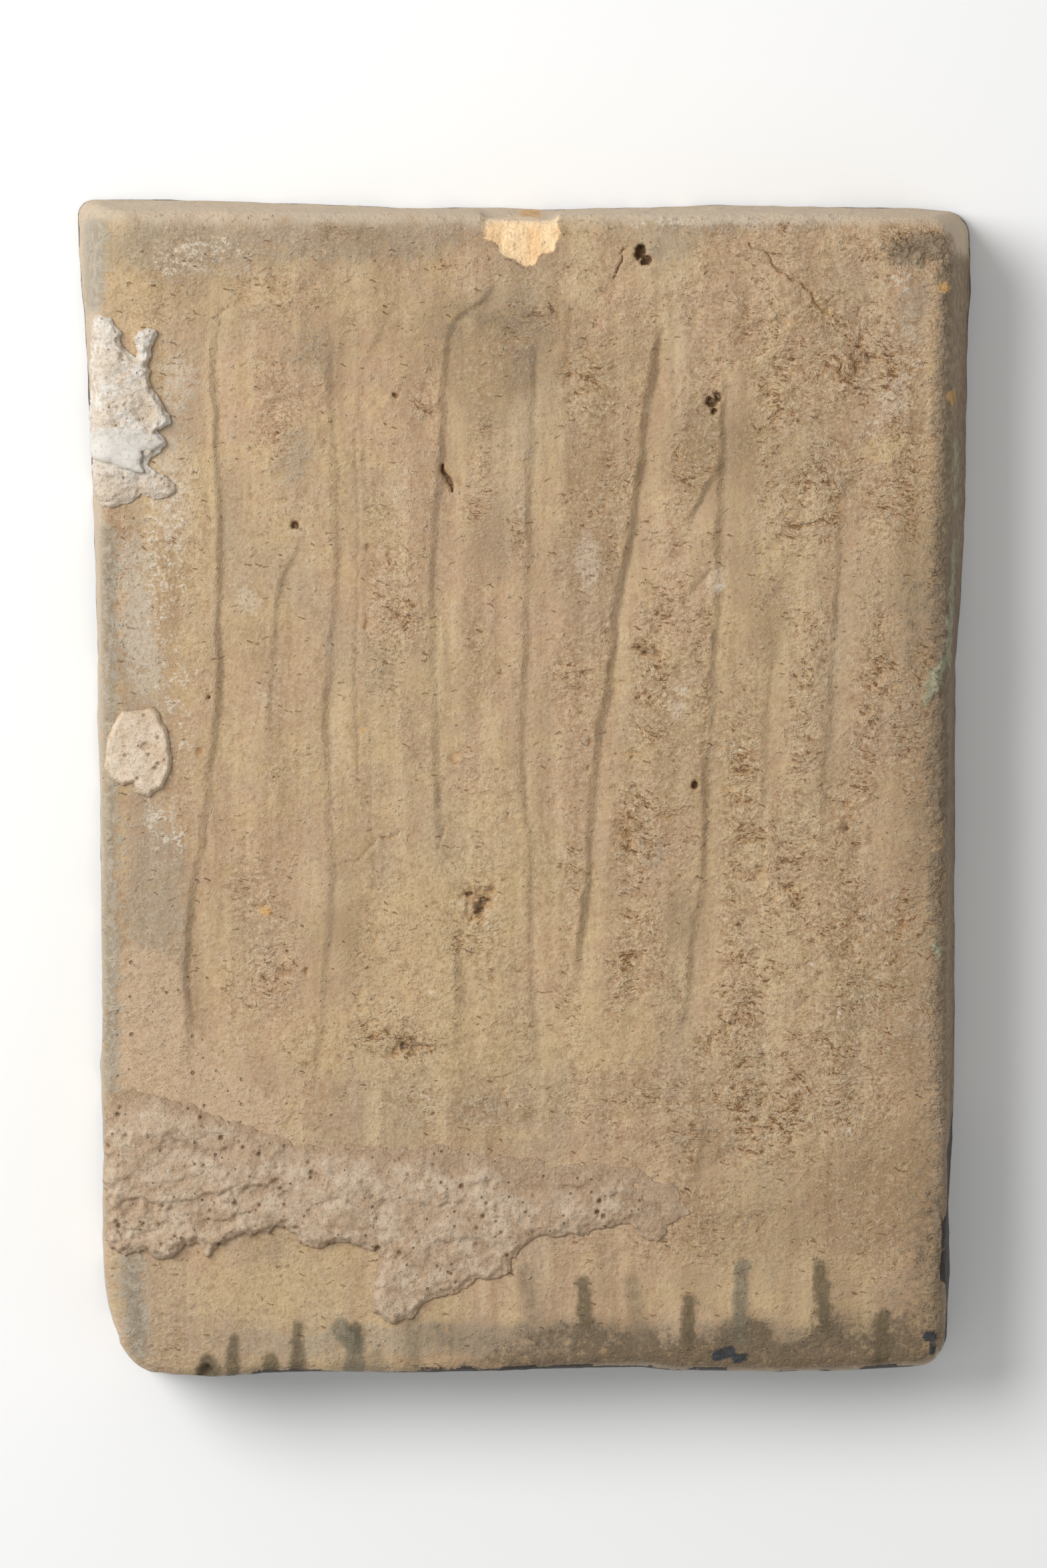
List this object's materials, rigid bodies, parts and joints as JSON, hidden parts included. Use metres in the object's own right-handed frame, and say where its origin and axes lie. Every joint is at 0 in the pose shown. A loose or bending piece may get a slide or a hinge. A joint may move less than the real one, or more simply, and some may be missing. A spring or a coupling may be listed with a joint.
{
  "type": "painted ceramic tile",
  "caption": "Handmade painted clay tile lying face down, its unglazed back up with finger-drawn furrows, straw pits, glaze drips and remains of setting mortar.",
  "frame": {"origin": "middle of the painted face, at the bottom of the part as it lies face down", "axes": "+Z out of the unglazed back, +Y towards the tile's top edge, +X to the right looking down on the back"},
  "size_m": [0.2516, 0.332, 0.04],
  "materials": {
    "fired_clay": "unglazed straw-tempered buff clay, glaze runs at the edges",
    "setting_mortar": "porous pinkish beige lime mortar",
    "white_plaster": "smooth dull white plaster"
  },
  "bodies": {
    "root": {"tile": "fired_clay", "mortar_band": "setting_mortar", "mortar_patch_upper": "setting_mortar", "plaster_dab": "white_plaster", "mortar_patch_middle": "setting_mortar"}
  },
  "joints": []
}
